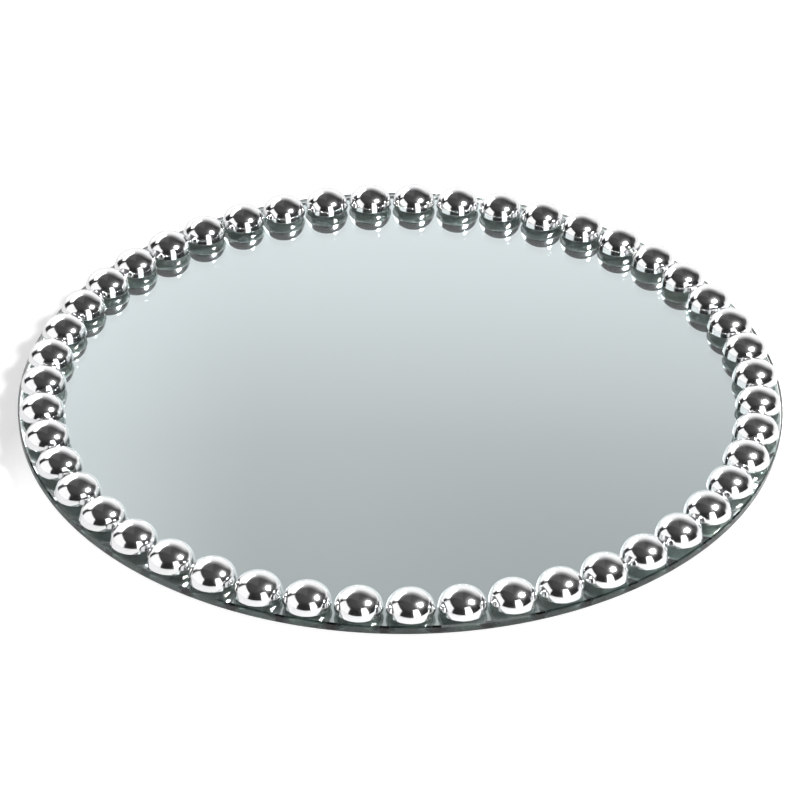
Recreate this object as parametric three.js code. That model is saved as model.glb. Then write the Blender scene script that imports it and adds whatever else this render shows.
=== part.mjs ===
import * as THREE from 'three';

// Mirror tray: a silvered glass plate with a border of chrome half balls, standing on bumper feet.
// All sizes are in millimetres. +Z is up, the feet stand on Z = 0 and the axis of the tray is the Z axis.

// Bead border
const BEAD_COUNT = 47;
const BEAD_DIAMETER = 20;
const BEAD_BELLY_HEIGHT = 1.7; // from the flat seat up to the widest level
const BEAD_CROWN_HEIGHT = 7; // from the widest level up to the top
const BEAD_GAP = 0.63; // clear space between neighbours
const RIM_MARGIN = 0.55; // bare glass between the beads and the rim
const GLUE_LINE = 0.2; // thickness of the glue under a bead

// Mirror plate
const GLASS_THICKNESS = 4;
const EDGE_ARRIS = 0.6; // width of the bevel that takes the sharpness off both edges
const SILVER_THICKNESS = 0.1;
const PAINT_THICKNESS = 0.2;
const COATING_INSET = 0.4; // bare ring that the edge grinding leaves round the coatings

// Bumper feet
const FOOT_COUNT = 4;
const FOOT_HEIGHT = 6.8;
const FOOT_DIAMETER = 16; // at the stuck face
const FOOT_TAPER = 1.5; // how far the side draws in on its way down
const FOOT_EDGE_RADIUS = 1.8; // rounding round the sole
const FOOT_INSET = 30; // from the rim to the stuck face

// Facets
const PLATE_SEGMENTS = 144;
const BEAD_SEGMENTS = 16;
const BEAD_SKIRT_SEGMENTS = 2;
const BEAD_CROWN_SEGMENTS = 5;
const FOOT_SEGMENTS = 24;
const FOOT_ROUND_SEGMENTS = 4;

// The ring of beads sets its own radius, and the plate is cut to carry it.
const BEAD_RADIUS = BEAD_DIAMETER / 2;
const BEAD_RING_RADIUS = (BEAD_DIAMETER + BEAD_GAP) / (2 * Math.sin(Math.PI / BEAD_COUNT));
const TRAY_RADIUS = BEAD_RING_RADIUS + BEAD_RADIUS + RIM_MARGIN;
const WELL_RADIUS = BEAD_RING_RADIUS - BEAD_RADIUS - BEAD_GAP; // clear mirror inside the beads
const FLAT_FACE_RADIUS = TRAY_RADIUS - EDGE_ARRIS;
const COATING_RADIUS = FLAT_FACE_RADIUS - COATING_INSET;
const FOOT_RING_RADIUS = TRAY_RADIUS - FOOT_INSET - FOOT_DIAMETER / 2;

// Levels, from the floor up
const PAINT_LEVEL = FOOT_HEIGHT;
const SILVER_LEVEL = PAINT_LEVEL + PAINT_THICKNESS;
const GLASS_LEVEL = SILVER_LEVEL + SILVER_THICKNESS;
const BEAD_LEVEL = GLASS_LEVEL + GLASS_THICKNESS + GLUE_LINE;

const tray = new THREE.Group();
tray.name = 'mirror_tray';

const materials = {
  glass: new THREE.MeshStandardMaterial({ color: 0xcfe3da, roughness: 0.02, transparent: true, opacity: 0.4 }),
  silver: new THREE.MeshStandardMaterial({ color: 0xe6e9e8, roughness: 0.02, metalness: 1 }),
  paint: new THREE.MeshStandardMaterial({ color: 0x6f7674, roughness: 0.7 }),
  chrome: new THREE.MeshStandardMaterial({ color: 0xd4d6d8, roughness: 0.05, metalness: 1 }),
  bumper: new THREE.MeshStandardMaterial({ color: 0xe4e6e2, roughness: 0.35 }),
};

// Turns a half profile, given as [radius, height] pairs from the axis and back to it, about the Z axis.
function turned(profile, segments) {
  const points = profile.map(([radius, height]) => new THREE.Vector2(radius, height));
  const geometry = new THREE.LatheGeometry(points, segments);
  geometry.rotateX(Math.PI / 2);
  return geometry;
}

// Adds one piece at a distance from the axis of the tray, in the direction of the angle.
function place(name, geometry, material, level, distance = 0, angle = 0) {
  const piece = new THREE.Mesh(geometry, material);
  piece.name = name;
  piece.position.set(distance * Math.cos(angle), distance * Math.sin(angle), level);
  piece.rotation.z = angle;
  tray.add(piece);
}

function discProfile(radius, thickness) {
  return [[0, 0], [radius, 0], [radius, thickness], [0, thickness]];
}

// The upper face is one plane in two rings: the beads stand on the outer one, and the inner one stays clear.
function plateProfile() {
  return [
    [0, 0],
    [FLAT_FACE_RADIUS, 0],
    [TRAY_RADIUS, EDGE_ARRIS],
    [TRAY_RADIUS, GLASS_THICKNESS - EDGE_ARRIS],
    [FLAT_FACE_RADIUS, GLASS_THICKNESS],
    [WELL_RADIUS, GLASS_THICKNESS],
    [0, GLASS_THICKNESS],
  ];
}

// Just over half a ball: one ellipse, drawn as two arcs that meet at the belly, and cut off flat a little
// below it, where the bead is glued down.
function beadProfile() {
  const seatAngle = -Math.asin(BEAD_BELLY_HEIGHT / BEAD_CROWN_HEIGHT);
  const arc = (from, to, segments) => {
    const curve = new THREE.EllipseCurve(0, BEAD_BELLY_HEIGHT, BEAD_RADIUS, BEAD_CROWN_HEIGHT, from, to);
    return curve.getPoints(segments).map((point) => [point.x, point.y]);
  };
  const skirt = arc(seatAngle, 0, BEAD_SKIRT_SEGMENTS);
  const crown = arc(0, Math.PI / 2, BEAD_CROWN_SEGMENTS);
  skirt[0][1] = 0;
  crown[crown.length - 1][0] = 0;
  return [[0, 0], ...skirt, ...crown.slice(1)];
}

// A low cone frustum, widest at the stuck face, with a rounded edge round the sole.
function footProfile() {
  const stuckRadius = FOOT_DIAMETER / 2;
  const soleRadius = stuckRadius - FOOT_TAPER;
  const round = new THREE.EllipseCurve(
    soleRadius - FOOT_EDGE_RADIUS, FOOT_EDGE_RADIUS, FOOT_EDGE_RADIUS, FOOT_EDGE_RADIUS, -Math.PI / 2, 0,
  );
  const edge = round.getPoints(FOOT_ROUND_SEGMENTS).map((point) => [point.x, point.y]);
  edge[0][1] = 0;
  return [[0, 0], ...edge, [stuckRadius, FOOT_HEIGHT], [0, FOOT_HEIGHT]];
}

place('mirror_glass', turned(plateProfile(), PLATE_SEGMENTS), materials.glass, GLASS_LEVEL);
place('silver_coat', turned(discProfile(COATING_RADIUS, SILVER_THICKNESS), PLATE_SEGMENTS), materials.silver, SILVER_LEVEL);
place('back_paint', turned(discProfile(COATING_RADIUS, PAINT_THICKNESS), PLATE_SEGMENTS), materials.paint, PAINT_LEVEL);

const bead = turned(beadProfile(), BEAD_SEGMENTS);
for (let index = 0; index < BEAD_COUNT; index += 1) {
  const angle = -Math.PI / 2 + (index * 2 * Math.PI) / BEAD_COUNT;
  const name = `bead_${String(index + 1).padStart(2, '0')}`;
  place(name, bead, materials.chrome, BEAD_LEVEL, BEAD_RING_RADIUS, angle);
}

const foot = turned(footProfile(), FOOT_SEGMENTS);
for (let index = 0; index < FOOT_COUNT; index += 1) {
  const angle = Math.PI / FOOT_COUNT + (index * 2 * Math.PI) / FOOT_COUNT;
  place(`foot_${index + 1}`, foot, materials.bumper, 0, FOOT_RING_RADIUS, angle);
}

export default tray;
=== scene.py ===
"""Dresses the mirror tray: clear glass over silvering, a border of plated balls, and the studio around it.

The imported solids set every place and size. Each class below stands for one sub-assembly of the tray, keeps
its sizes in metres and makes smooth pieces that take the place of the faceted ones.
"""

from __future__ import annotations

import logging
import math
from dataclasses import dataclass
from enum import Enum

import bpy
from mathutils import Matrix, Vector

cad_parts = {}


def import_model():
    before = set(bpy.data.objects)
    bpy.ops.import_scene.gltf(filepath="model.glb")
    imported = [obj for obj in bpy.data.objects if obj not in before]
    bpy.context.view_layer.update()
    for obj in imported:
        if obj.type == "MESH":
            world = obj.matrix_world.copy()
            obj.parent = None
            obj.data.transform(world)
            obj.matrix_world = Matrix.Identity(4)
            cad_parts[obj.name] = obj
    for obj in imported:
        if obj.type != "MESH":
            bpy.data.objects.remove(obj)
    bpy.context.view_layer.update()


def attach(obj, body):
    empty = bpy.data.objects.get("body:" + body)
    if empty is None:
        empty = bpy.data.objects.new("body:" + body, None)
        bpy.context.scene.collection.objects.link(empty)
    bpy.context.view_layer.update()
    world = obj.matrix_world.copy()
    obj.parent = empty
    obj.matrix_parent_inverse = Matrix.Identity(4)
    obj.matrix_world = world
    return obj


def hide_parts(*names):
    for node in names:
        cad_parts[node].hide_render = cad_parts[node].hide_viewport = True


Pair = tuple[float, float]
Triple = tuple[float, float, float]
Colour = Triple
Profile = list[Pair]
Socket = bpy.types.NodeSocket

MM = 0.001
BODY = "root"
IMAGE_SIDE = 800
SHARP_ANGLE = math.radians(30)
RANGE_INPUTS = ("From Min", "From Max", "To Min", "To Max")

log = logging.getLogger("mirror_tray")


class Slot(Enum):
    """Material slots of the part's record."""

    CLEAR_GLASS = "clear_glass"
    SILVERING = "silvering"
    BACKING_PAINT = "backing_paint"
    CHROME_BEAD = "chrome_bead"
    BUMPER = "bumper"


class LampShape(Enum):
    """Outline of a studio lamp."""

    PANEL = "RECTANGLE"
    ROUND = "ELLIPSE"


class NodeSheet:
    """A node tree, with short calls that add nodes and join them."""

    def __init__(self, tree: bpy.types.NodeTree) -> None:
        """Takes over a tree and empties it.

        Args:
            tree: Tree of a material, of the world or of a pattern.
        """
        self.nodes = tree.nodes
        self.links = tree.links
        self.nodes.clear()

    def add(self, kind: str, **inputs: object) -> bpy.types.Node:
        """Adds a node and sets its inputs.

        Args:
            kind: Blender's name for the node type.
            **inputs: Value or source socket for each input, by name with underscores for spaces.

        Returns:
            The new node.
        """
        node = self.nodes.new(kind)
        for name, value in inputs.items():
            self.feed(node, name.replace("_", " "), value)
        return node

    def feed(self, node: bpy.types.Node, name: str | int, value: object) -> None:
        """Gives one input a value, or joins it to a source socket.

        Args:
            node: Node that owns the input.
            name: Name of the input, or its number.
            value: Plain value or output socket.
        """
        if isinstance(value, Socket):
            self.links.new(value, node.inputs[name])
        else:
            node.inputs[name].default_value = value

    def combine(self, operation: str, first: object, second: object) -> Socket:
        """Joins two numbers by arithmetic.

        Args:
            operation: Blender's name for the operation.
            first: First number, or its source.
            second: Second number, or its source.

        Returns:
            The result.
        """
        node = self.nodes.new("ShaderNodeMath")
        node.operation = operation
        for place, value in enumerate((first, second)):
            self.feed(node, place, value)
        return node.outputs[0]

    def blend(self, share: Socket, first: object, second: object) -> Socket:
        """Mixes two numbers by a share.

        Args:
            share: 0 for the first number, 1 for the second.
            first: Number at 0, or its source.
            second: Number at 1, or its source.

        Returns:
            The mixed number.
        """
        return self.add("ShaderNodeMix", Factor=share, A=first, B=second).outputs["Result"]

    def remap(self, value: Socket, span: Pair, result: Pair, curve: str = "LINEAR") -> Socket:
        """Maps a number from one range to another, and holds it there.

        Args:
            value: Source of the number.
            span: Numbers at which the range starts and ends.
            result: Results at its start and at its end.
            curve: Blender's name for the way from one to the other.

        Returns:
            The mapped number.
        """
        node = self.add("ShaderNodeMapRange", Value=value)
        node.interpolation_type = curve
        for name, number in zip(RANGE_INPUTS, (*span, *result)):
            node.inputs[name].default_value = number
        return node.outputs["Result"]

    def light_path(self) -> bpy.types.NodeOutputs:
        """Gives the kinds of light ray that can be told apart."""
        return self.nodes.new("ShaderNodeLightPath").outputs


class ShaderTree(NodeSheet):
    """A material's node tree."""

    def __init__(self, name: str) -> None:
        """Makes an empty material with an output node.

        Args:
            name: Name of the material.
        """
        self.material = bpy.data.materials.new(name)
        self.material.use_nodes = True
        super().__init__(self.material.node_tree)
        self.output = self.nodes.new("ShaderNodeOutputMaterial")

    def place(self) -> Socket:
        """Gives the place on the piece, in metres."""
        return self.nodes.new("ShaderNodeTexCoord").outputs["Object"]

    def noise(self, scale: float, detail: float, roughness: float = 0.5) -> Socket:
        """Adds cloudy noise over the piece.

        Args:
            scale: Cells per metre.
            detail: Octaves.
            roughness: Share of the finer octaves.

        Returns:
            The noise value, from 0 to 1.
        """
        node = self.add("ShaderNodeTexNoise", Vector=self.place(), Scale=scale)
        self.feed(node, "Detail", detail)
        self.feed(node, "Roughness", roughness)
        return node.outputs["Fac"]

    def tint(self, value: Socket, first: Colour, second: Colour | Socket) -> Socket:
        """Mixes two colours by a value.

        Args:
            value: 0 for the first colour, 1 for the second.
            first: Colour at 0.
            second: Colour at 1, or its source.

        Returns:
            The mixed colour.
        """
        node = self.nodes.new("ShaderNodeMix")
        node.data_type = "RGBA"
        self.links.new(value, node.inputs["Factor"])
        node.inputs["A"].default_value = (*first, 1)
        self.feed(node, "B", second if isinstance(second, Socket) else (*second, 1))
        return next(s for s in node.outputs if s.name == "Result" and s.type == "RGBA")

    def vector(self, operation: str, first: Socket, second: Triple) -> bpy.types.NodeOutputs:
        """Joins two vectors by arithmetic.

        Args:
            operation: Blender's name for the operation.
            first: Source of the first vector.
            second: Second vector.

        Returns:
            The results, by name.
        """
        node = self.nodes.new("ShaderNodeVectorMath")
        node.operation = operation
        for place, value in enumerate((first, second)):
            self.feed(node, place, value)
        return node.outputs

    def axis_distance(self) -> Socket:
        """Gives the distance from the upright axis of the tray, in metres."""
        flat = self.vector("MULTIPLY", self.place(), (1, 1, 0))["Vector"]
        return self.vector("DISTANCE", flat, (0, 0, 0))["Value"]

    def height(self) -> Socket:
        """Gives the height above the table, in metres."""
        axes = self.add("ShaderNodeSeparateXYZ", Vector=self.place())
        return axes.outputs["Z"]

    def bump(self, height: Socket, depth: float) -> Socket:
        """Turns a height from 0 to 1 into a bumped normal.

        Args:
            height: Height of the surface.
            depth: Depth of the relief in metres.

        Returns:
            The bumped normal.
        """
        return self.add("ShaderNodeBump", Height=height, Distance=depth, Strength=1.0).outputs["Normal"]

    def finish(self, surface: bpy.types.Node) -> bpy.types.Material:
        """Joins the surface to the output.

        Args:
            surface: Shader node of the surface.

        Returns:
            The finished material.
        """
        self.links.new(surface.outputs[0], self.output.inputs["Surface"])
        return self.material


@dataclass(frozen=True)
class ClearGlass:
    """Float glass with a fine-ground edge, whose green cast deepens with the depth looked through."""

    name: str = "clear_float_glass"
    refraction: float = 1.52
    absorbed: Colour = (0.533, 0.667, 0.633)
    density: float = 40.0
    clear: Colour = (1.0, 1.0, 1.0)
    polish: Pair = (0.0, 0.012)
    smear_scale: float = 22.0
    smear_cut: Pair = (0.55, 0.8)
    # Edge colour: the ground edge's own grey-green, darkened further as painted shade.
    edge_tone_and_shade: Colour = (0.27, 0.36, 0.32)
    ground: Pair = (0.0, 0.03)
    grind_scale: float = 160.0
    grind_cut: Pair = (0.35, 0.65)
    grind_width: float = 0.05 * MM
    octaves: float = 4.0
    fineness: float = 0.6

    def material(self, face_radius: float) -> bpy.types.Material:
        """Makes the glass: faint smears in the polish over a clear body, and a satin edge, darkened partly
        by its own grey-green and partly by painted shade.

        Args:
            face_radius: Radius of the polished faces, past which the edge is ground.

        Returns:
            The glass.
        """
        tree = ShaderTree(self.name)
        smears = tree.noise(self.smear_scale, self.octaves, self.fineness)
        smear = tree.remap(smears, self.smear_cut, self.polish)
        grains = tree.noise(self.grind_scale, self.octaves, self.fineness)
        grind = tree.remap(grains, self.grind_cut, self.ground)
        edge = tree.remap(tree.axis_distance(), (face_radius, face_radius + self.grind_width), (0, 1))
        surface = tree.add(
            "ShaderNodeBsdfPrincipled",
            Base_Color=tree.tint(edge, self.clear, self.edge_tone_and_shade),
            Roughness=tree.blend(edge, smear, grind),
            IOR=self.refraction,
            Transmission_Weight=1.0,
        )
        body = tree.add("ShaderNodeVolumeAbsorption", Color=(*self.absorbed, 1), Density=self.density)
        tree.links.new(body.outputs[0], tree.output.inputs["Volume"])
        return tree.finish(surface)


@dataclass(frozen=True)
class SilverFilm:
    """Bright silver film behind the glass, with the least clouding."""

    name: str = "mirror_silver"
    bright: Colour = (0.9263, 0.9712, 0.9982)
    cloudy: Colour = (0.9113, 0.9562, 0.9832)
    cloud_scale: float = 9.0
    cloud_octaves: float = 3.0
    cloud_cut: Pair = (0.3, 0.8)
    polish: Pair = (0.0, 0.01)

    def material(self) -> bpy.types.Material:
        """Makes the film: a mirror whose tone and polish drift slightly across the plate."""
        tree = ShaderTree(self.name)
        cloud = tree.noise(self.cloud_scale, self.cloud_octaves)
        surface = tree.add(
            "ShaderNodeBsdfPrincipled",
            Base_Color=tree.tint(cloud, self.bright, self.cloudy),
            Metallic=1.0,
            Roughness=tree.remap(cloud, self.cloud_cut, self.polish),
        )
        return tree.finish(surface)


@dataclass(frozen=True)
class BackingPaint:
    """Grey mirror-backing paint with a sprayed, slightly pebbled surface."""

    name: str = "backing_paint"
    light: Colour = (0.25, 0.26, 0.255)
    dark: Colour = (0.19, 0.2, 0.2)
    pebble_scale: float = 700.0
    pebble_depth: float = 0.03 * MM
    pebble_octaves: float = 2.0
    pebble_cut: Pair = (0.3, 0.7)
    polish: Pair = (0.45, 0.62)
    cloud_scale: float = 14.0
    cloud_octaves: float = 5.0
    cloud_fineness: float = 0.6

    def material(self) -> bpy.types.Material:
        """Makes the paint: clouded grey, pebbled, half matt."""
        tree = ShaderTree(self.name)
        cloud = tree.noise(self.cloud_scale, self.cloud_octaves, self.cloud_fineness)
        pebble = tree.noise(self.pebble_scale, self.pebble_octaves)
        surface = tree.add(
            "ShaderNodeBsdfPrincipled",
            Base_Color=tree.tint(cloud, self.light, self.dark),
            Roughness=tree.remap(pebble, self.pebble_cut, self.polish),
            Normal=tree.bump(pebble, self.pebble_depth),
        )
        return tree.finish(surface)


@dataclass(frozen=True)
class PlatedChrome:
    """Bright lacquered plating over a moulded ball, with faint waves, fine wipe marks and a bare seat."""

    name: str = "plated_chrome"
    bright: Colour = (0.81, 0.815, 0.82)
    dull: Colour = (0.76, 0.765, 0.77)
    wave_scale: float = 130.0
    wave_depth: float = 0.012 * MM
    wave_octaves: float = 1.0
    wipe_scale: float = 420.0
    wipe_octaves: float = 4.0
    wipe_fineness: float = 0.65
    wipe_cut: Pair = (0.4, 0.8)
    dull_cut: Pair = (0.45, 0.8)
    polish: Pair = (0.1, 0.17)
    matt: Pair = (0.9, 1.0)
    seat: Colour = (0.86, 0.86, 0.83)
    seat_step: float = 0.05 * MM
    lacquer: float = 0.6
    lacquer_haze: float = 0.3

    def material(self, seat_level: float) -> bpy.types.Material:
        """Makes the plating: waves in the normal, wipe marks in the polish, hazy lacquer, a bare seat.

        Args:
            seat_level: Height of the flat seats.

        Returns:
            The plating.
        """
        tree = ShaderTree(self.name)
        wipe = tree.noise(self.wipe_scale, self.wipe_octaves, self.wipe_fineness)
        wave = tree.noise(self.wave_scale, self.wave_octaves)
        side = tree.remap(tree.height(), (seat_level, seat_level + self.seat_step), (0, 1))
        polish = tree.remap(wipe, self.wipe_cut, self.polish)
        matt = tree.remap(wipe, self.wipe_cut, self.matt)
        plated = tree.tint(tree.remap(wipe, self.dull_cut, (0, 1)), self.bright, self.dull)
        surface = tree.add(
            "ShaderNodeBsdfPrincipled",
            Base_Color=tree.tint(side, self.seat, plated),
            Metallic=side,
            Roughness=tree.blend(side, matt, polish),
            Normal=tree.bump(wave, self.wave_depth),
            Coat_Weight=self.lacquer,
            Coat_Roughness=self.lacquer_haze,
        )
        return tree.finish(surface)


@dataclass(frozen=True)
class ClearGel:
    """Clear soft plastic or set glue, slightly cloudy inside."""

    name: str
    pale: Colour
    milky: Colour
    clearness: float
    refraction: float
    cloud_scale: float
    polish: Pair
    cloud_octaves: float = 3.0
    cloud_cut: Pair = (0.3, 0.7)

    def material(self) -> bpy.types.Material:
        """Makes the gel: cloudy colour under an uneven skin."""
        tree = ShaderTree(self.name)
        cloud = tree.noise(self.cloud_scale, self.cloud_octaves)
        surface = tree.add(
            "ShaderNodeBsdfPrincipled",
            Base_Color=tree.tint(cloud, self.pale, self.milky),
            Roughness=tree.remap(cloud, self.cloud_cut, self.polish),
            IOR=self.refraction,
            Transmission_Weight=self.clearness,
        )
        return tree.finish(surface)


SET_GLUE = ClearGel(
    name="set_clear_glue",
    pale=(0.97, 0.98, 0.97),
    milky=(0.9, 0.91, 0.9),
    clearness=1.0,
    refraction=1.48,
    cloud_scale=300.0,
    polish=(0.03, 0.12),
)
SOFT_BUMPER = ClearGel(
    name="clear_bumper",
    pale=(0.93, 0.94, 0.92),
    milky=(0.82, 0.83, 0.8),
    clearness=0.75,
    refraction=1.41,
    cloud_scale=160.0,
    polish=(0.22, 0.38),
)


def turned_mesh(name: str, profile: Profile, segments: int) -> bpy.types.Mesh:
    """Turns a half profile about the Z axis into a closed, smooth-shaded mesh with crisp edges.

    Args:
        name: Name of the mesh.
        profile: Radius and height of each point, from the axis at the bottom round to the axis at the top.
        segments: Steps round the axis.

    Returns:
        The mesh.
    """
    points: list[Triple] = []
    rings: list[list[int]] = []
    for radius, height in profile:
        steps = 1 if radius == 0 else segments
        first = len(points)
        for step in range(steps):
            angle = 2 * math.pi * step / segments
            points.append((radius * math.cos(angle), radius * math.sin(angle), height))
        rings.append([first + step % steps for step in range(segments + 1)])
    faces: list[tuple[int, ...]] = []
    for low, high in zip(rings, rings[1:]):
        for step in range(segments):
            corners = (low[step], low[step + 1], high[step + 1], high[step])
            faces.append(tuple(dict.fromkeys(corners)))
    mesh = bpy.data.meshes.new(name)
    mesh.from_pydata(points, [], faces)
    mesh.shade_smooth()
    mesh.set_sharp_from_angle(angle=SHARP_ANGLE)
    mesh.validate()
    return mesh


def arc(centre: Pair, halves: Pair, span: Pair, steps: int) -> Profile:
    """Gives points along an upright ellipse.

    Args:
        centre: Middle of the ellipse.
        halves: Half its width and half its height.
        span: Angles of the first and last point, in radians from the horizontal.
        steps: Number of steps between them.

    Returns:
        The points, both ends included.
    """
    start, end = span
    angles = [start + (end - start) * step / steps for step in range(steps + 1)]
    return [(centre[0] + halves[0] * math.cos(a), centre[1] + halves[1] * math.sin(a)) for a in angles]


def add_piece(mesh: bpy.types.Mesh, name: str, nodes: list[str]) -> bpy.types.Object:
    """Puts a finished mesh in the scene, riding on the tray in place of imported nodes.

    Args:
        mesh: Mesh with its place and material in it.
        name: Name of the piece.
        nodes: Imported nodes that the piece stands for.

    Returns:
        The piece's object.
    """
    piece = bpy.data.objects.new(name, mesh)
    bpy.context.scene.collection.objects.link(piece)
    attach(piece, BODY)
    if nodes:
        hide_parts(*nodes)
    log.info("%s: %d faces", name, len(mesh.polygons))
    return piece


@dataclass(frozen=True)
class RingLayout:
    """Where the copies of a piece stand round the axis of the tray."""

    copies: int
    radius: float
    level: float
    first_angle: float
    scatter: float
    seed: int


class RingPattern:
    """Geometry Nodes tree that repeats one mesh round the axis of the tray."""

    def __init__(self) -> None:
        """Builds the tree, with a named input for each size."""
        self.tree = bpy.data.node_groups.new("ring_of_copies", "GeometryNodeTree")
        self.sheet = NodeSheet(self.tree)
        face = self.tree.interface
        face.new_socket("Piece", in_out="INPUT", socket_type="NodeSocketGeometry")
        self.sockets = {
            name: face.new_socket(name, in_out="INPUT", socket_type=kind).identifier
            for name, kind in (
                ("Copies", "NodeSocketInt"),
                ("Ring Radius", "NodeSocketFloat"),
                ("Level", "NodeSocketFloat"),
                ("First Angle", "NodeSocketFloat"),
                ("Scatter", "NodeSocketFloat"),
                ("Seed", "NodeSocketInt"),
                ("Finish", "NodeSocketMaterial"),
            )
        }
        face.new_socket("Ring", in_out="OUTPUT", socket_type="NodeSocketGeometry")
        self._wire()

    def _node(self, kind: str, **settings: object) -> bpy.types.Node:
        """Adds a node to the tree and sets its properties.

        Args:
            kind: Blender's name for the node type.
            **settings: Properties of the node.

        Returns:
            The new node.
        """
        node = self.sheet.nodes.new(kind)
        for name, value in settings.items():
            setattr(node, name, value)
        return node

    def _wire(self) -> None:
        """Joins the nodes: a scattered circle of points, one turned copy on each, then one mesh."""
        link = self.sheet.links.new
        given = self._node("NodeGroupInput").outputs
        circle = self._node("GeometryNodeMeshCircle")
        link(given["Copies"], circle.inputs["Vertices"])
        link(given["Ring Radius"], circle.inputs["Radius"])

        chance = self._node("FunctionNodeRandomValue", data_type="FLOAT_VECTOR")
        chance.inputs["Min"].default_value = (-1, -1, 0)
        chance.inputs["Max"].default_value = (1, 1, 0)
        link(given["Seed"], next(s for s in chance.inputs if s.name == "Seed" and s.enabled))
        stray = self._node("ShaderNodeVectorMath", operation="SCALE")
        link(chance.outputs["Value"], stray.inputs["Vector"])
        link(given["Scatter"], stray.inputs["Scale"])
        shifted = self._node("GeometryNodeSetPosition")
        link(circle.outputs["Mesh"], shifted.inputs["Geometry"])
        link(stray.outputs["Vector"], shifted.inputs["Offset"])

        index = self._node("GeometryNodeInputIndex").outputs["Index"]
        turn = self.sheet.combine("MULTIPLY", index, math.tau)
        turn = self.sheet.combine("DIVIDE", turn, given["Copies"])
        euler = self._node("ShaderNodeCombineXYZ")
        link(turn, euler.inputs["Z"])
        rotation = self._node("FunctionNodeEulerToRotation")
        link(euler.outputs["Vector"], rotation.inputs["Euler"])
        copies = self._node("GeometryNodeInstanceOnPoints")
        link(shifted.outputs["Geometry"], copies.inputs["Points"])
        link(given["Piece"], copies.inputs["Instance"])
        link(rotation.outputs["Rotation"], copies.inputs["Rotation"])

        offset = self._node("ShaderNodeCombineXYZ")
        link(given["Level"], offset.inputs["Z"])
        start = self._node("ShaderNodeCombineXYZ")
        link(given["First Angle"], start.inputs["Z"])
        seated = self._node("GeometryNodeTransform")
        link(copies.outputs["Instances"], seated.inputs["Geometry"])
        link(offset.outputs["Vector"], seated.inputs["Translation"])
        link(start.outputs["Vector"], seated.inputs["Rotation"])
        whole = self._node("GeometryNodeRealizeInstances")
        link(seated.outputs["Geometry"], whole.inputs["Geometry"])
        dressed = self._node("GeometryNodeSetMaterial")
        link(whole.outputs["Geometry"], dressed.inputs["Geometry"])
        link(given["Finish"], dressed.inputs["Material"])
        link(dressed.outputs["Geometry"], self._node("NodeGroupOutput").inputs["Ring"])

    def repeat(
        self, mesh: bpy.types.Mesh, layout: RingLayout, finish: bpy.types.Material
    ) -> bpy.types.Mesh:
        """Makes one plain mesh of all the copies.

        Args:
            mesh: Mesh of one copy, standing on the origin.
            layout: Where the copies stand.
            finish: Material of the copies.

        Returns:
            The mesh of the whole ring.
        """
        maker = bpy.data.objects.new(mesh.name, mesh)
        bpy.context.scene.collection.objects.link(maker)
        modifier = maker.modifiers.new("ring", "NODES")
        modifier.node_group = self.tree
        values = {
            "Copies": layout.copies,
            "Ring Radius": layout.radius,
            "Level": layout.level,
            "First Angle": layout.first_angle,
            "Scatter": layout.scatter,
            "Seed": layout.seed,
            "Finish": finish,
        }
        for name, value in values.items():
            modifier[self.sockets[name]] = value
        graph = bpy.context.evaluated_depsgraph_get()
        ring = bpy.data.meshes.new_from_object(maker.evaluated_get(graph), depsgraph=graph)
        ring.name = f"{mesh.name}_ring"
        maker.modifiers.remove(modifier)
        bpy.data.objects.remove(maker)
        return ring


@dataclass
class MirrorPlate:
    """The silvered glass plate: clear glass, silver film and backing paint, one under the other."""

    radius: float = 164.983 * MM
    level: float = 7.1 * MM
    thickness: float = 4.0 * MM
    arris: float = 0.6 * MM
    coating_inset: float = 0.4 * MM
    silver_thickness: float = 0.1 * MM
    paint_thickness: float = 0.2 * MM
    bond: float = 0.02 * MM
    segments: int = 288

    @property
    def face_level(self) -> float:
        """Height of the glass's upper face."""
        return self.level + self.thickness

    def build(self) -> None:
        """Makes and dresses the glass and its two coats."""
        self._glass()
        self._coats()

    def _glass(self) -> None:
        """Makes the glass, with a bevel round both edges."""
        flat = self.radius - self.arris
        profile = [
            (0, self.level),
            (flat, self.level),
            (self.radius, self.level + self.arris),
            (self.radius, self.face_level - self.arris),
            (flat, self.face_level),
            (0, self.face_level),
        ]
        mesh = turned_mesh("mirror_glass_smooth", profile, self.segments)
        mesh.materials.append(ClearGlass().material(flat))
        add_piece(mesh, "mirror_glass_smooth", ["mirror_glass"])

    def _coats(self) -> None:
        """Makes the silver, which bonds to the glass with no air between, and the paint under it."""
        edge = self.radius - self.arris - self.coating_inset
        silver_low = self.level - self.silver_thickness
        paint_low = silver_low - self.paint_thickness
        silver = self._disc("silver_film", edge, silver_low, self.level + self.bond)
        silver.materials.append(SilverFilm().material())
        add_piece(silver, "silver_film", ["silver_coat"])
        paint = self._disc("backing_paint_film", edge, paint_low, silver_low)
        paint.materials.append(BackingPaint().material())
        add_piece(paint, "backing_paint_film", ["back_paint"])

    def _disc(self, name: str, radius: float, low: float, high: float) -> bpy.types.Mesh:
        """Makes a thin disc.

        Args:
            name: Name of the mesh.
            radius: Its radius.
            low: Height of its lower face.
            high: Height of its upper face.

        Returns:
            The disc's mesh.
        """
        return turned_mesh(name, [(0, low), (radius, low), (radius, high), (0, high)], self.segments)


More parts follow.
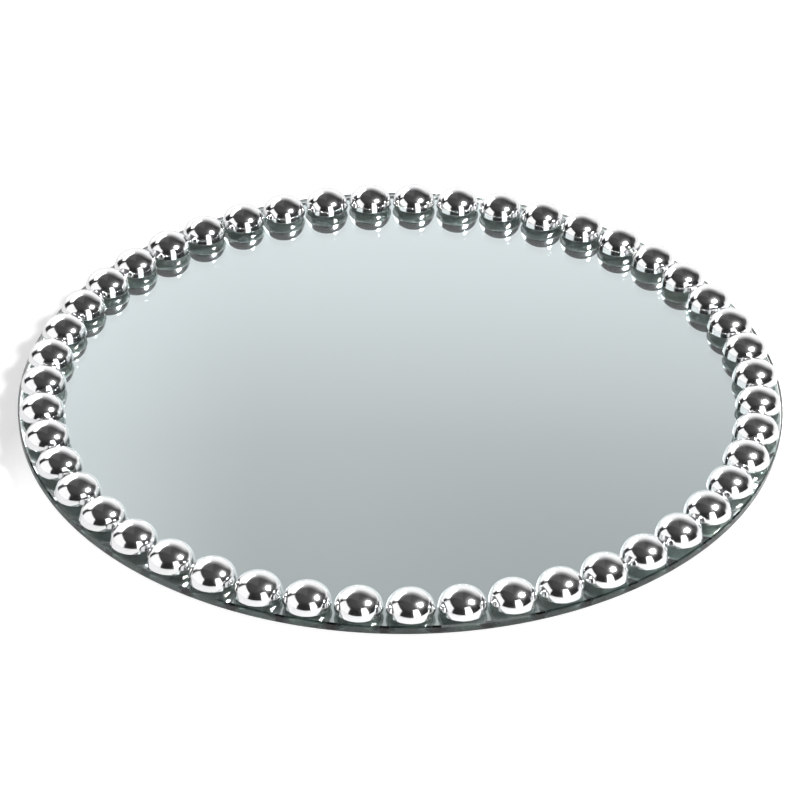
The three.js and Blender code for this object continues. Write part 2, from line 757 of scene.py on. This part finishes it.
@dataclass
class BeadBorder:
    """The ring of plated half-balls, each held by clear glue."""

    copies: int = 47
    ring_radius: float = 154.433 * MM
    seat_radius: float = 9.9 * MM
    wall_height: float = 2.4 * MM
    crown_centre: float = 0.9 * MM
    crown_radius: float = 9.588 * MM
    crown_height: float = 7.0 * MM
    glue_line: float = 1.0 * MM
    glue_radius: float = 8.9 * MM
    glue_draw_in: float = 0.35 * MM
    glue_bond: float = 0.02 * MM
    glue_steps: int = 6
    glue_segments: int = 40
    scatter: float = 0.15 * MM
    seed: int = 11
    segments: int = 64
    wall_steps: int = 8
    crown_steps: int = 22

    def layout(self, level: float) -> RingLayout:
        """Gives the places of the balls, or of their glue.

        Args:
            level: Height of the copies' lower face.

        Returns:
            The layout, with the first copy towards the front.
        """
        return RingLayout(self.copies, self.ring_radius, level, -math.pi / 2, self.scatter, self.seed)

    def build(self, pattern: RingPattern, face_level: float) -> None:
        """Makes and dresses the balls and the glue.

        Args:
            pattern: Tree that repeats a piece round the tray.
            face_level: Height of the glass that carries them.
        """
        seat_level = face_level + self.glue_line
        plating = PlatedChrome().material(seat_level)
        balls = pattern.repeat(self._ball(), self.layout(seat_level), plating)
        nodes = [f"bead_{number:02d}" for number in range(1, self.copies + 1)]
        add_piece(balls, "chrome_beads", nodes)
        glue = pattern.repeat(self._pad(), self.layout(face_level), SET_GLUE.material())
        add_piece(glue, "glue_pads", [])

    def _ball(self) -> bpy.types.Mesh:
        """Makes one half-ball: a flat seat, a wall that leans in more and more, and a crown above it."""
        start = math.asin((self.wall_height - self.crown_centre) / self.crown_height)
        halves = (self.crown_radius, self.crown_height)
        crown = arc((0.0, self.crown_centre), halves, (start, math.pi / 2), self.crown_steps)
        crown[-1] = (0.0, crown[-1][1])
        lean = self.crown_radius / self.crown_height * math.tan(start)
        draw_in = self.seat_radius - crown[0][0]
        curve = lean * self.wall_height - draw_in
        wall: Profile = []
        for step in range(self.wall_steps):
            share = step / self.wall_steps
            inward = draw_in * share + curve * (share * share - share)
            wall.append((self.seat_radius - inward, self.wall_height * share))
        return turned_mesh("chrome_bead", [(0.0, 0.0), *wall, *crown], self.segments)

    def _pad(self) -> bpy.types.Mesh:
        """Makes one pad of glue, bonded to the glass and to the seat, and drawn in towards its top."""
        halves = (self.glue_draw_in, self.glue_line)
        rise = arc((self.glue_radius, self.glue_line), halves, (-math.pi / 2, -math.pi), self.glue_steps)
        rise[0] = (rise[0][0], -self.glue_bond)
        rise[-1] = (rise[-1][0], self.glue_line + self.glue_bond)
        profile = [(0.0, -self.glue_bond), *rise, (0.0, self.glue_line + self.glue_bond)]
        return turned_mesh("glue_pad", profile, self.glue_segments)


@dataclass
class BumperFeet:
    """The clear stick-on bumpers under the plate."""

    copies: int = 4
    ring_radius: float = 126.983 * MM
    height: float = 6.8 * MM
    stuck_radius: float = 8.0 * MM
    taper: float = 1.5 * MM
    edge_radius: float = 1.8 * MM
    edge_steps: int = 8
    segments: int = 48

    def build(self, pattern: RingPattern) -> None:
        """Makes and dresses the feet.

        Args:
            pattern: Tree that repeats a piece round the tray.
        """
        sole = self.stuck_radius - self.taper
        round_centre = (sole - self.edge_radius, self.edge_radius)
        halves = (self.edge_radius, self.edge_radius)
        edge = arc(round_centre, halves, (-math.pi / 2, 0), self.edge_steps)
        edge[0] = (edge[0][0], 0.0)
        profile = [(0.0, 0.0), *edge, (self.stuck_radius, self.height), (0.0, self.height)]
        foot = turned_mesh("bumper_foot", profile, self.segments)
        layout = RingLayout(self.copies, self.ring_radius, 0.0, math.pi / self.copies, 0.0, 0)
        feet = pattern.repeat(foot, layout, SOFT_BUMPER.material())
        add_piece(feet, "bumper_feet", [f"foot_{n}" for n in range(1, self.copies + 1)])


@dataclass(frozen=True)
class StudioLamp:
    """One soft lamp of the studio, with its place and facing in metres of the tray's own frame."""

    name: str
    shape: LampShape
    centre: Triple
    faces: Triple
    width: float
    height: float
    radiance: float

    def build(self) -> None:
        """Makes the lamp, which lights the tray and shows in it but not to the eye."""
        area = self.width * self.height * (math.pi / 4 if self.shape is LampShape.ROUND else 1)
        light = bpy.data.lights.new(self.name, "AREA")
        light.shape = self.shape.value
        light.size = self.width
        light.size_y = self.height
        light.energy = self.radiance * math.pi * area
        lamp = bpy.data.objects.new(self.name, light)
        bpy.context.scene.collection.objects.link(lamp)
        lamp.location = self.centre
        lamp.rotation_mode = "QUATERNION"
        lamp.rotation_quaternion = Vector(self.faces).to_track_quat("-Z", "Y")
        lamp.visible_camera = False
        log.info("%s: radiance %.1f", self.name, self.radiance)


STUDIO_LAMPS = (
    StudioLamp(
        name="key_lamp",
        shape=LampShape.ROUND,
        centre=(0.477, -0.174, 0.717),
        faces=(-0.477, 0.174, -0.717),
        width=0.22,
        height=0.22,
        radiance=130.0,
    ),
    StudioLamp(
        name="front_panel",
        shape=LampShape.PANEL,
        centre=(0.42, -0.92, 0.57),
        faces=(-0.41, 0.91, 0.0),
        width=0.48,
        height=1.10,
        radiance=3.0,
    ),
    StudioLamp(
        name="left_softbox",
        shape=LampShape.PANEL,
        centre=(-0.595, 0.835, 0.83),
        faces=(0.727, -0.687, 0.0),
        width=1.0,
        height=0.42,
        radiance=2.5,
    ),
    StudioLamp(
        name="left_card",
        shape=LampShape.PANEL,
        centre=(-0.85, -0.325, 0.43),
        faces=(1.0, 0.0, 0.0),
        width=1.05,
        height=0.85,
        radiance=1.2,
    ),
)


class WorldTree(NodeSheet):
    """The world's node tree, with short calls for sums on a direction."""

    def __init__(self, name: str) -> None:
        """Makes an empty world and gives it to the scene.

        Args:
            name: Name of the world.
        """
        world = bpy.data.worlds.new(name)
        world.use_nodes = True
        bpy.context.scene.world = world
        super().__init__(world.node_tree)

    def direction(self) -> tuple[Socket, ...]:
        """Gives the three parts of the direction looked in."""
        looked = self.nodes.new("ShaderNodeTexCoord").outputs["Generated"]
        return tuple(self.add("ShaderNodeSeparateXYZ", Vector=looked).outputs)

    def fade(self, value: Socket, span: Pair, result: Pair) -> Socket:
        """Fades smoothly from one level to another.

        Args:
            value: Number that drives the fade.
            span: Values at which the fade starts and ends.
            result: Levels at the start and at the end.

        Returns:
            The faded level.
        """
        return self.remap(value, span, result, "SMOOTHSTEP")

    def ramp(self, value: Socket, stops: tuple[Pair, ...]) -> Socket:
        """Reads a level off a curve of straight stretches.

        Args:
            value: Number that is looked up.
            stops: Value and level of each corner.

        Returns:
            The level.
        """
        reach = stops[-1][0]
        node = self.nodes.new("ShaderNodeValToRGB")
        self.links.new(self.combine("DIVIDE", value, reach), node.inputs["Fac"])
        marks = node.color_ramp.elements
        while len(marks) < len(stops):
            marks.new(0.5)
        for mark, (place, level) in zip(marks, stops):
            mark.position = place / reach
            mark.color = (level, level, level, 1)
        return node.outputs["Color"]

    def finish(self, level: Socket, dome: float, plain: float) -> None:
        """Shows a level as the world's grey, an even one to stray light and a plain one to the eye.

        Args:
            level: Brightness of each direction, as metal and glass see it.
            dome: Brightness of every direction to stray light.
            plain: Brightness of every direction where nothing stands before it.
        """
        path = self.light_path()
        seen = self.combine("MAXIMUM", path["Is Glossy Ray"], path["Is Transmission Ray"])
        grey = self.blend(path["Is Camera Ray"], self.blend(seen, dome, level), plain)
        back = self.add("ShaderNodeBackground", Color=grey)
        output = self.nodes.new("ShaderNodeOutputWorld")
        self.links.new(back.outputs["Background"], output.inputs["Surface"])


@dataclass(frozen=True)
class Backdrop:
    """A white wall far behind the tray, lit from below, in a dim room that is lighter overhead."""

    wall: tuple[Pair, ...] = (
        (0.0, 1.241),
        (0.34, 1.176),
        (0.455, 1.077),
        (0.515, 0.969),
        (0.54, 0.845),
        (0.559, 0.726),
        (0.578, 0.61),
        (0.598, 0.548),
        (0.643, 0.447),
        (0.69, 0.315),
        (0.735, 0.196),
        (0.785, 0.103),
    )
    left_end: Pair = (-1.45, -1.2)
    right_end: Pair = (0.35, 1.7)
    right_up: Pair = (0.12, 0.34)
    right_cut: Pair = (0.12, 0.95)
    glow: float = 0.195
    glow_aside: Pair = (-0.015, -0.1)
    glow_up: Pair = (0.5, 0.6)
    glow_end: Pair = (0.62, 0.7)
    glow_low: float = 0.3
    dim: float = 0.035
    dim_aside: Pair = (0.0, 0.09)
    dim_up: Pair = (0.56, 0.6)
    low_room: float = 0.02
    top_room: float = 0.066
    climb: Pair = (0.6, 0.98)
    dome: float = 0.3
    plain: float = 1.0
    near: float = 0.02

    def build(self) -> None:
        """Makes the world: the room as metal and glass see it, and an even dome for stray light."""
        tree = WorldTree("studio_room")
        across, ahead, up = tree.direction()
        aside = tree.combine("DIVIDE", across, tree.combine("MAXIMUM", ahead, self.near))
        wall = tree.ramp(up, self.wall)
        glow = tree.fade(aside, self.glow_aside, (0, self.glow))
        glow = tree.combine("MULTIPLY", glow, tree.fade(up, self.glow_up, (self.glow_low, 1)))
        glow = tree.combine("MULTIPLY", glow, tree.fade(up, self.glow_end, (1, 0)))
        dim = tree.fade(aside, self.dim_aside, (0, self.dim))
        dim = tree.combine("MULTIPLY", dim, tree.fade(up, self.dim_up, (0, 1)))
        wall = tree.combine("SUBTRACT", tree.combine("ADD", wall, glow), dim)
        wall = tree.combine("MULTIPLY", wall, tree.fade(aside, self.left_end, (0, 1)))
        cut = tree.fade(aside, self.right_end, (0, 1))
        cut = tree.combine("MULTIPLY", cut, tree.fade(up, self.right_up, self.right_cut))
        wall = tree.combine("MULTIPLY", wall, tree.combine("SUBTRACT", 1.0, cut))
        wall = tree.combine("MULTIPLY", wall, tree.combine("GREATER_THAN", ahead, 0.0))
        room = tree.fade(up, self.climb, (self.low_room, self.top_room))
        tree.finish(tree.combine("MAXIMUM", room, wall), self.dome, self.plain)


@dataclass(frozen=True)
class PaleFloor:
    """The white table that the tray stands on."""

    half: float = 6.0
    light: Colour = (0.93, 0.93, 0.93)
    dark: Colour = (0.91, 0.91, 0.912)
    shade: Colour = (0.36, 0.36, 0.36)
    soft_shade: Colour = (0.352, 0.352, 0.354)
    # Strengths of the floor's painted glow: low in the key lamp's shadow, full round it.
    low_glow: float = 0.56
    full_glow: float = 0.9
    metal_share: float = 0.45
    shadow_way: Triple = (-0.95, 0.3, 0.0)
    shadow_side: Pair = (0.13, 0.155)
    shadow_reach: Pair = (0.177, 0.2)
    cloud_scale: float = 3.0
    cloud_octaves: float = 3.0

    def build(self) -> None:
        """Makes the floor, which shows white to the eye and in the metal and keeps the tray's shadow."""
        signs = ((-1, -1), (1, -1), (1, 1), (-1, 1))
        corners = [(self.half * across, self.half * along, 0) for across, along in signs]
        mesh = bpy.data.meshes.new("table_top")
        mesh.from_pydata(corners, [], [(0, 1, 2, 3)])
        floor = bpy.data.objects.new("table_top", mesh)
        bpy.context.scene.collection.objects.link(floor)
        mesh.materials.append(self._material())

    def _material(self) -> bpy.types.Material:
        """Makes the finish: plain white to stray light, and to the eye a white glow of painted light over
        soft shadows.
        """
        tree = ShaderTree("white_table")
        cloud = tree.noise(self.cloud_scale, self.cloud_octaves)
        plain = tree.add("ShaderNodeBsdfDiffuse", Color=tree.tint(cloud, self.light, self.dark))
        shadowed = tree.add("ShaderNodeBsdfDiffuse", Color=tree.tint(cloud, self.shade, self.soft_shade))
        glow = tree.add("ShaderNodeEmission", Color=(1, 1, 1, 1), Strength=self._strength(tree))
        white = tree.nodes.new("ShaderNodeAddShader")
        tree.links.new(shadowed.outputs[0], white.inputs[0])
        tree.links.new(glow.outputs[0], white.inputs[1])
        path = tree.light_path()
        seen = tree.combine("MAXIMUM", path["Is Camera Ray"], path["Is Glossy Ray"])
        seen = tree.combine("MAXIMUM", seen, path["Is Transmission Ray"])
        mix = tree.nodes.new("ShaderNodeMixShader")
        tree.links.new(seen, mix.inputs["Fac"])
        tree.links.new(plain.outputs[0], mix.inputs[1])
        tree.links.new(white.outputs[0], mix.inputs[2])
        return tree.finish(mix)

    def _strength(self, tree: ShaderTree) -> Socket:
        """Gives the strength of the white glow, which is painted light: low where the key lamp's shadow
        falls, full round it, where it lightens the tray's shadow.

        The metal and the glass show a share of it, so that the floor is just white in them too.

        Args:
            tree: Tree of the floor's finish.

        Returns:
            The strength.
        """
        along = tree.vector("DOT_PRODUCT", tree.place(), self.shadow_way)["Value"]
        side = tree.remap(along, self.shadow_side, (self.full_glow, self.low_glow))
        reach = tree.remap(tree.axis_distance(), self.shadow_reach, (self.low_glow, self.full_glow))
        share = tree.remap(tree.light_path()["Is Camera Ray"], (0, 1), (self.metal_share, 1))
        return tree.combine("MULTIPLY", tree.combine("MAXIMUM", side, reach), share)


@dataclass(frozen=True)
class PhotoCamera:
    """The camera at the photograph's viewing angle."""

    azimuth: float = -1.717
    elevation: float = 34.841
    distance: float = 1.496
    focal_pixels: float = 3440.6
    centre_pixel: Pair = (400.37, 410.82)
    roll: float = 0.428
    sensor: float = 36.0
    clip: Pair = (0.05, 60.0)

    def build(self) -> None:
        """Makes the camera, aimed so that the tray's axis falls on its pixel."""
        around, up = math.radians(self.azimuth), math.radians(self.elevation)
        back = Vector((math.sin(around) * math.cos(up), -math.cos(around) * math.cos(up), math.sin(up)))
        right = Vector((math.cos(around), math.sin(around), 0))
        above = back.cross(right)
        eye = back * self.distance
        per_pixel = self.distance / self.focal_pixels
        aim = right * (IMAGE_SIDE / 2 - self.centre_pixel[0]) * per_pixel
        aim += above * (self.centre_pixel[1] - IMAGE_SIDE / 2) * per_pixel
        back = (eye - aim).normalized()
        right = above.cross(back).normalized()
        above = back.cross(right)
        tilt = math.radians(self.roll)
        side = right * math.cos(tilt) + above * math.sin(tilt)
        top = above * math.cos(tilt) - right * math.sin(tilt)
        data = bpy.data.cameras.new("photo_camera")
        data.sensor_width = self.sensor
        data.lens = self.focal_pixels * self.sensor / IMAGE_SIDE
        data.clip_start, data.clip_end = self.clip
        camera = bpy.data.objects.new("photo_camera", data)
        bpy.context.scene.collection.objects.link(camera)
        turn = Matrix((side, top, back)).transposed().to_4x4()
        camera.matrix_world = Matrix.Translation(eye) @ turn
        bpy.context.scene.camera = camera


@dataclass(frozen=True)
class LightPaths:
    """How far light runs between the balls, the mirror and the glass."""

    bounces: int = 96
    clear_bounces: int = 64
    brightest: float = 90.0

    def set(self) -> None:
        """Sets the paths, and the plain view that shows colours as they are."""
        scene = bpy.context.scene
        scene.view_settings.view_transform = "Standard"
        scene.cycles.max_bounces = self.bounces
        scene.cycles.glossy_bounces = self.clear_bounces
        scene.cycles.transmission_bounces = self.clear_bounces
        scene.cycles.caustics_reflective = True
        scene.cycles.caustics_refractive = True
        scene.cycles.sample_clamp_indirect = self.brightest


def main() -> None:
    """Builds the tray and its studio."""
    logging.basicConfig(level=logging.INFO, format="%(name)s %(message)s")
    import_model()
    pattern = RingPattern()
    plate = MirrorPlate()
    plate.build()
    BeadBorder().build(pattern, plate.face_level)
    BumperFeet().build(pattern)
    PaleFloor().build()
    Backdrop().build()
    for lamp in STUDIO_LAMPS:
        lamp.build()
    PhotoCamera().build()
    LightPaths().set()


if __name__ == "__main__":
    main()
